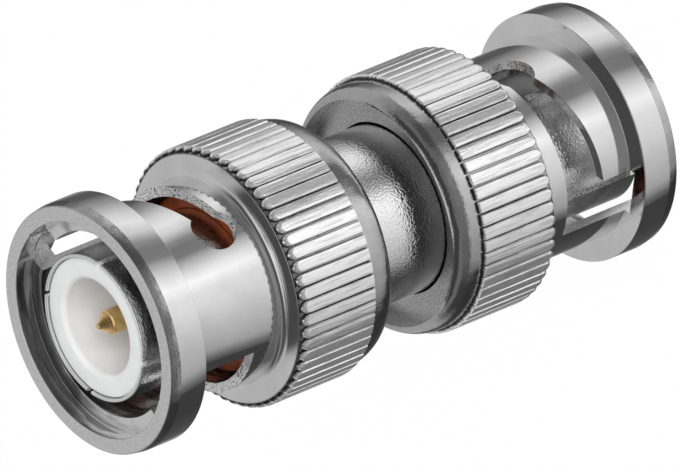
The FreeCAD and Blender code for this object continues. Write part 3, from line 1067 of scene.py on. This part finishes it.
@dataclass
class PlugRings(Maker):
    """The turned pieces round a plug's contacts: insulator, gasket and retaining ring.

    Attributes:
        lip_radius: Radius of the insulator's lip, which lies in the sleeve's seat.
        mouth_radius: Radius of the deep round mouth in the insulator.
        tail_end: Height of the insulator's rear end above the middle of the adapter.
    """

    lip_radius: float = 3.88
    lip_front: float = 0.5
    lip_rear: float = 0.83
    lip_edge: float = 0.1
    core_radius: float = 3.68
    core_rear: float = 11.42
    tail_radius: float = 3.18
    tail_end: float = 1.0
    pin_hole: float = 0.92
    pin_hole_edge: float = 0.05
    mouth_radius: float = 2.65
    mouth_depth: float = 6.5
    mouth_edge: float = 0.3
    mouth_fillet: float = 0.4
    gasket_bore: float = 4.1
    gasket_radius: float = 5.03
    gasket_front: float = 8.02
    gasket_rear: float = 10.22
    gasket_edge: float = 0.1
    gasket_shoulder: float = 0.35
    ring_bore: float = 4.78
    ring_radius: float = 6.3
    ring_front: float = 13.34
    ring_rear: float = 14.24
    ring_edge: float = 0.06
    segments: int = 192

    def _insulator(self) -> list[Corner]:
        """Outline of the insulator."""
        return self.outline(
            (self.lip_radius, self.lip_front, self.lip_edge),
            (self.lip_radius, self.lip_rear),
            (self.core_radius, self.lip_rear),
            (self.core_radius, self.core_rear),
            (self.tail_radius, self.core_rear),
            (self.tail_radius, self.half - self.tail_end),
            (self.pin_hole, self.half - self.tail_end),
            (self.pin_hole, self.mouth_depth, self.pin_hole_edge),
            (self.mouth_radius, self.mouth_depth, self.mouth_fillet),
            (self.mouth_radius, self.lip_front, self.mouth_edge),
        )

    def _gasket(self) -> list[Corner]:
        """Outline of the gasket, which is rounder at its outer front edge."""
        edges = (self.gasket_edge, self.gasket_shoulder, self.gasket_edge, 0.0)
        return self._band(self.gasket_bore, self.gasket_radius, self.gasket_front, self.gasket_rear, edges)

    def _retaining_ring(self) -> list[Corner]:
        """Outline of the ring in the nut's rear end."""
        edges = (0.0, 0.0, 0.0, self.ring_edge)
        return self._band(self.ring_bore, self.ring_radius, self.ring_front, self.ring_rear, edges)

    def _band(
        self, bore: float, radius: float, front: float, rear: float, edges: Sequence[float]
    ) -> list[Corner]:
        """Outline of a plain ring, with the roundings of its edges from the inner front one on."""
        rows = [(bore, front), (radius, front), (radius, rear), (bore, rear)]
        return self.outline(*((*row, edge) for row, edge in zip(rows, edges)))

    def make(self, wardrobe: Wardrobe) -> None:
        """Build and dress the rings."""
        side = self.side.value
        pieces = [
            ("insulator_body", self._insulator(), Coat.INSULATION, "core", "insulator"),
            ("gasket_ring", self._gasket(), Coat.RUBBER, "core", "gasket"),
            ("rear_ring", self._retaining_ring(), Coat.FROSTED, f"{side}_nut", "retaining_ring"),
        ]
        for name, outline, coat, body, node in pieces:
            piece = wardrobe.clothe(f"{side}_{name}", turned_mesh(name, outline, self.segments), coat)
            settle(piece, self.place(), body, coat, [f"{side}_{node}"])


@dataclass
class WaveSpring(Maker):
    """The wavy spring washer that the nut's draw flattens.

    Attributes:
        crests: Number of waves round the washer.
        front: Height of the crests above the middle of the adapter.
        free_height: Height of the washer from its troughs to its crests.
        drawn_height: That height when the nut is drawn. Not used.
    """

    crests: int = 3
    front: float = 5.66
    free_height: float = 1.31
    drawn_height: float = 0.504
    thickness: float = 0.2
    inner_radius: float = 4.8
    outer_radius: float = 5.85
    segments: int = 144

    def mesh(self) -> bpy.types.Mesh:
        """Closed mesh of the washer."""
        rear, travel = self.front - self.free_height, self.free_height - self.thickness
        sections = []
        for step in range(self.segments):
            angle = FULL_TURN * step / self.segments
            low = rear + travel * (1 + math.cos(self.crests * angle)) / 2
            high = low + self.thickness
            sections.append(upright_section(self.inner_radius, self.outer_radius, low, high, angle))
        return lofted_mesh("wave_spring", sections, [0] * 4, ring=True)

    def make(self, wardrobe: Wardrobe) -> None:
        """Build and dress the washer, and give it a mesh of its own."""
        side, place = self.side.value, self.place()
        spring = wardrobe.clothe(f"{side}_wave_spring", self.mesh(), Coat.SPRING)
        settle(spring, place, "core", Coat.SPRING, [f"{side}_wave_washer"])
        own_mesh(spring)


@dataclass
class Middle(Maker):
    """The centre body and the pin that runs through it.

    Attributes:
        end: Height of the centre body's end above the middle.
        pin_tip_depth: Depth of the pin's tip behind the open face.
        pin_cone: Length of the pin's cone, down to its flat shoulder.
        shank_radius: Radius of the hidden part of the pin.
    """

    end: float = 5.93
    end_edge: float = 0.1
    radius: float = 4.7
    spigot_radius: float = 3.9
    spigot_length: float = 3.0
    bore: float = 3.2
    pin_tip_depth: float = 0.65
    pin_tip_radius: float = 0.16
    pin_tip_edge: float = 0.06
    pin_cone: float = 0.62
    cone_radius: float = 0.5
    cone_edge: float = 0.04
    shoulder_step: float = 0.03
    shoulder_drop: float = 0.02
    shoulder_height: float = 0.05
    pin_radius: float = 0.68
    shoulder_edge: float = 0.09
    pin_step_depth: float = 7.0
    shank_radius: float = 0.9
    collar_radius: float = 1.5
    collar_half: float = 1.0
    body_segments: int = 192
    pin_segments: int = 96

    @staticmethod
    def _both(corners: Sequence[Corner]) -> list[Corner]:
        """Complete an outline that is the same on both sides of the middle."""
        turned = [Corner(c.radius, -c.height, c.rounding, c.coat) for c in reversed(corners)]
        return [*corners, *turned]

    def _body(self) -> list[Corner]:
        """Outline of the centre body."""
        return self._both([
            Corner(self.bore, self.end - self.spigot_length),
            Corner(self.spigot_radius, self.end - self.spigot_length),
            Corner(self.spigot_radius, self.end),
            Corner(self.radius, self.end, self.end_edge),
        ])

    def _pin(self) -> list[Corner]:
        """Outline of the pin."""
        tip, step = self.half - self.pin_tip_depth, self.half - self.pin_step_depth
        shoulder = tip - self.pin_cone
        return self._both([
            Corner(0.0, tip),
            Corner(self.pin_tip_radius, tip, self.pin_tip_edge),
            Corner(self.cone_radius, shoulder, self.cone_edge),
            Corner(self.cone_radius + self.shoulder_step, shoulder - self.shoulder_drop),
            Corner(self.pin_radius, shoulder - self.shoulder_height, self.shoulder_edge),
            Corner(self.pin_radius, step),
            Corner(self.shank_radius, step),
            Corner(self.shank_radius, self.collar_half),
            Corner(self.collar_radius, self.collar_half),
        ])

    def make(self, wardrobe: Wardrobe) -> None:
        """Build and dress the centre body and the pin."""
        barrel = turned_mesh("centre_barrel", self._body(), self.body_segments)
        body = wardrobe.clothe("centre_barrel", barrel, Coat.CAST)
        settle(body, self.place(), "core", Coat.CAST, ["centre_body"])
        pin = wardrobe.clothe("pin_body", turned_mesh("pin_body", self._pin(), self.pin_segments), Coat.GOLD)
        settle(pin, self.place(), "core", Coat.GOLD, ["centre_pin"])


def dress_washers(nodes: dict[str, bpy.types.Object], wardrobe: Wardrobe) -> None:
    """Give the hidden washers their finish on their own solids."""
    for side in Side:
        for kind in ("front_washer", "thrust_washer"):
            node = nodes[f"{side.value}_{kind}"]
            for slot in node.material_slots:
                slot.material = wardrobe.get(Coat.SPRING)
            LOG.info("%s: finished on its own solid", node.name)


# Studio


@dataclass(frozen=True)
class Studio:
    """Floor, lamp, surroundings and camera. Sizes are in metres and angles in degrees.

    The room that the metal mirrors is a table below, walls round it and a ceiling. The edges of table,
    band and ceiling are pairs of heights of a direction, from -1 straight down to 1 straight up.

    Attributes:
        elevation: Angle of the camera above the floor.
        axis_lean: Turn of the adapter's axis in the image, from straight left towards down.
        image_span: Width of what the camera sees at the adapter.
        aim: The point in the middle of the image.
        lens: Focal length in millimetres, like the sensor's width.
        farthest: Range of the camera as a multiple of its distance.
        room_light: Brightness of the room for surfaces that scatter light.
        near_wall: Brightness of the wall behind the camera, which has a lighter band.
        table_on_wall: Share of the table's pattern in the foot of that wall.
        wall_turn: Turn of the walls towards the right, as a slope.
        wall_edge: Limits, in how far back a direction points, between which the far wall fades in.
        lamp_offset: Place of the lamp from the aim.
        floor_matt: Brightness of the floor as a matt surface.
        floor_glow: Share of plain white in the floor that the camera sees.
    """

    elevation: float = 33.98
    axis_lean: float = 22.21
    image_span: float = 0.03587
    aim: Triple = (-0.00032, 0.0, 0.01772)
    lens: float = 1000.0
    sensor: float = 36.0
    nearest: float = 0.01
    farthest: float = 4.0
    room_light: float = 0.62
    near_wall: float = 0.07
    near_wall_band: float = 0.22
    table_on_wall: float = 0.26
    far_wall: float = 0.5
    wall_turn: float = 0.35
    ceiling: float = 0.95
    table_edge: tuple[float, float] = (-0.36, -0.24)
    band_foot: tuple[float, float] = (0.1, 0.25)
    band_top: tuple[float, float] = (0.4, 0.5)
    wall_edge: tuple[float, float] = (0.1, 0.5)
    ceiling_edge: tuple[float, float] = (0.8, 0.97)
    lamp_span: float = 0.25
    lamp_power: float = 0.7
    lamp_offset: Triple = (0.05, -0.30, 0.20)
    floor_size: float = 3.0
    floor_matt: float = 0.8
    floor_glow: float = 0.985

    def camera(self) -> None:
        """Place the camera as the photograph was taken."""
        lift, lean = math.radians(self.elevation), math.radians(self.axis_lean)
        back = Vector((0.0, -math.cos(lift), math.sin(lift)))
        axis_in_image = Vector((0.0, math.sin(lift), math.cos(lift)))
        sideways = Vector((1.0, 0.0, 0.0))
        right = -math.cos(lean) * axis_in_image - math.sin(lean) * sideways
        up = -math.sin(lean) * axis_in_image + math.cos(lean) * sideways
        distance = self.image_span * self.lens / self.sensor
        data = bpy.data.cameras.new("camera")
        data.sensor_width = self.sensor
        data.lens = self.lens
        data.clip_start, data.clip_end = self.nearest, distance * self.farthest
        camera = bpy.data.objects.new("camera", data)
        turn = Matrix((right, up, back)).transposed().to_4x4()
        camera.matrix_world = Matrix.Translation(Vector(self.aim) + back * distance) @ turn
        bpy.context.scene.collection.objects.link(camera)
        bpy.context.scene.camera = camera

    def floor(self) -> None:
        """Lay a pale floor that keeps the object's shadow."""
        shape = bmesh.new()
        bmesh.ops.create_grid(shape, x_segments=1, y_segments=1, size=self.floor_size)
        mesh = bpy.data.meshes.new("floor")
        shape.to_mesh(mesh)
        shape.free()
        made, graph = new_material("floor")
        matt = graph.node("ShaderNodeBsdfDiffuse", None, {"Color": (*grey(self.floor_matt), 1.0)})
        glow = graph.node("ShaderNodeEmission", None, {"Color": (*WHITE, 1.0), "Strength": 1.0})
        seen = graph.node("ShaderNodeLightPath", None, None, "Is Camera Ray")
        surface = graph.node("ShaderNodeMixShader", None, {0: seen * self.floor_glow, 1: matt, 2: glow})
        graph.node("ShaderNodeOutputMaterial", None, {"Surface": surface})
        mesh.materials.append(made)
        floor = new_object("floor", mesh)
        floor.visible_glossy = False
        floor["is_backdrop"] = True

    def surroundings(self) -> None:
        """Light the scene with a pale room whose panels and gaps show in the metal."""
        world = bpy.data.worlds.new("room")
        bpy.context.scene.world = world
        world.use_nodes = True
        graph = Graph(world.node_tree)
        lights = [
            graph.node("ShaderNodeBackground", None, {"Color": colour, "Strength": strength})
            for colour, strength in (
                ((*WHITE, 1.0), self.room_light),
                (self._room(graph), 1.0),
                ((*WHITE, 1.0), 1.0),
            )
        ]
        glossy, camera = (
            graph.node("ShaderNodeLightPath", None, None, f"Is {kind} Ray") for kind in ("Glossy", "Camera")
        )
        lit = graph.node("ShaderNodeMixShader", None, {0: glossy, 1: lights[0], 2: lights[1]})
        surface = graph.node("ShaderNodeMixShader", None, {0: camera, 1: lit, 2: lights[2]})
        graph.node("ShaderNodeOutputWorld", None, {"Surface": surface})

    def _room(self, graph: Graph) -> Sock:
        """Colour of the room by the direction in which it is seen.

        Args:
            graph: The world's graph, to add nodes to.

        Returns:
            The colour's socket.
        """
        across, along, height = graph.parts(graph.node("ShaderNodeTexCoord", None, None, "Generated"))
        azimuth = along.arctangent(across) / FULL_TURN + 0.5
        table = graph.node("ShaderNodeValToRGB", {"stops": self._table_stops()}, {0: azimuth})
        dark, band = grey(self.near_wall), grey(self.near_wall_band)
        foot = graph.blend(self.table_on_wall, dark, table)
        high = graph.blend(graph.ramp(height, *self.band_top), band, dark)
        near = graph.blend(graph.ramp(height, *self.band_foot), foot, high)
        facing = along + across * self.wall_turn
        walls = graph.blend(graph.ramp(facing, *self.wall_edge), near, grey(self.far_wall))
        upper = graph.blend(graph.ramp(height, *self.ceiling_edge), walls, grey(self.ceiling))
        return graph.blend(graph.ramp(height, *self.table_edge), table, upper)

    @staticmethod
    def _table_stops() -> list[tuple[float, Triple]]:
        """Brightness of the table round the object, as ramp stops.

        Returns:
            Stops by the share of a turn, where 0.25 is towards the camera.
        """
        levels = [
            (-180, 0.08), (-174, 0.16), (-164, 0.38), (-140, 0.54), (-112, 0.76), (-97, 0.84),
            (-84, 1.08), (-74, 0.86), (-62, 0.5), (-54, 0.22), (-42, 0.2), (-34, 0.28),
            (-22, 0.68), (-10, 0.86), (4, 0.72), (26, 0.34), (48, 0.1), (66, 0.1),
            (84, 0.36), (96, 0.36), (112, 0.1), (128, 0.07), (150, 0.05), (172, 0.05),
        ]
        return [(angle / 360.0 + 0.5, grey(level)) for angle, level in levels]

    def lamp(self) -> None:
        """Hang one soft lamp above the object."""
        data = bpy.data.lights.new("key", "AREA")
        data.shape = "DISK"
        data.size = self.lamp_span
        data.energy = self.lamp_power
        lamp = bpy.data.objects.new("key", data)
        offset = Vector(self.lamp_offset)
        turn = (-offset).to_track_quat("-Z", "Y").to_matrix().to_4x4()
        lamp.matrix_world = Matrix.Translation(Vector(self.aim) + offset) @ turn
        lamp.visible_glossy = False
        bpy.context.scene.collection.objects.link(lamp)

    def make(self) -> None:
        """Build the whole studio."""
        self.camera()
        self.floor()
        self.surroundings()
        self.lamp()
        bpy.context.scene.view_settings.view_transform = "Standard"


def main() -> None:
    """Dress the adapter and build the studio round it."""
    logging.basicConfig(level=logging.INFO, format="%(name)s %(message)s")
    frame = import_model()
    cad_low, cad_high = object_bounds()
    half = (cad_low.z + cad_high.z) / 2 / MM
    wardrobe = Wardrobe()
    row = RoundRow("ribs_round_axis")
    for side in Side:
        CouplingNut(side, half, NUT_TURN[side]).make(wardrobe, row)
        ContactSleeve(side, half, SLEEVE_TURN[side]).make(wardrobe)
        PlugRings(side, half).make(wardrobe)
        WaveSpring(side, half).make(wardrobe)
    Middle(Side.UPPER, half).make(wardrobe)
    dress_washers(frame["nodes"], wardrobe)
    Studio().make()


if __name__ == "__main__":
    main()
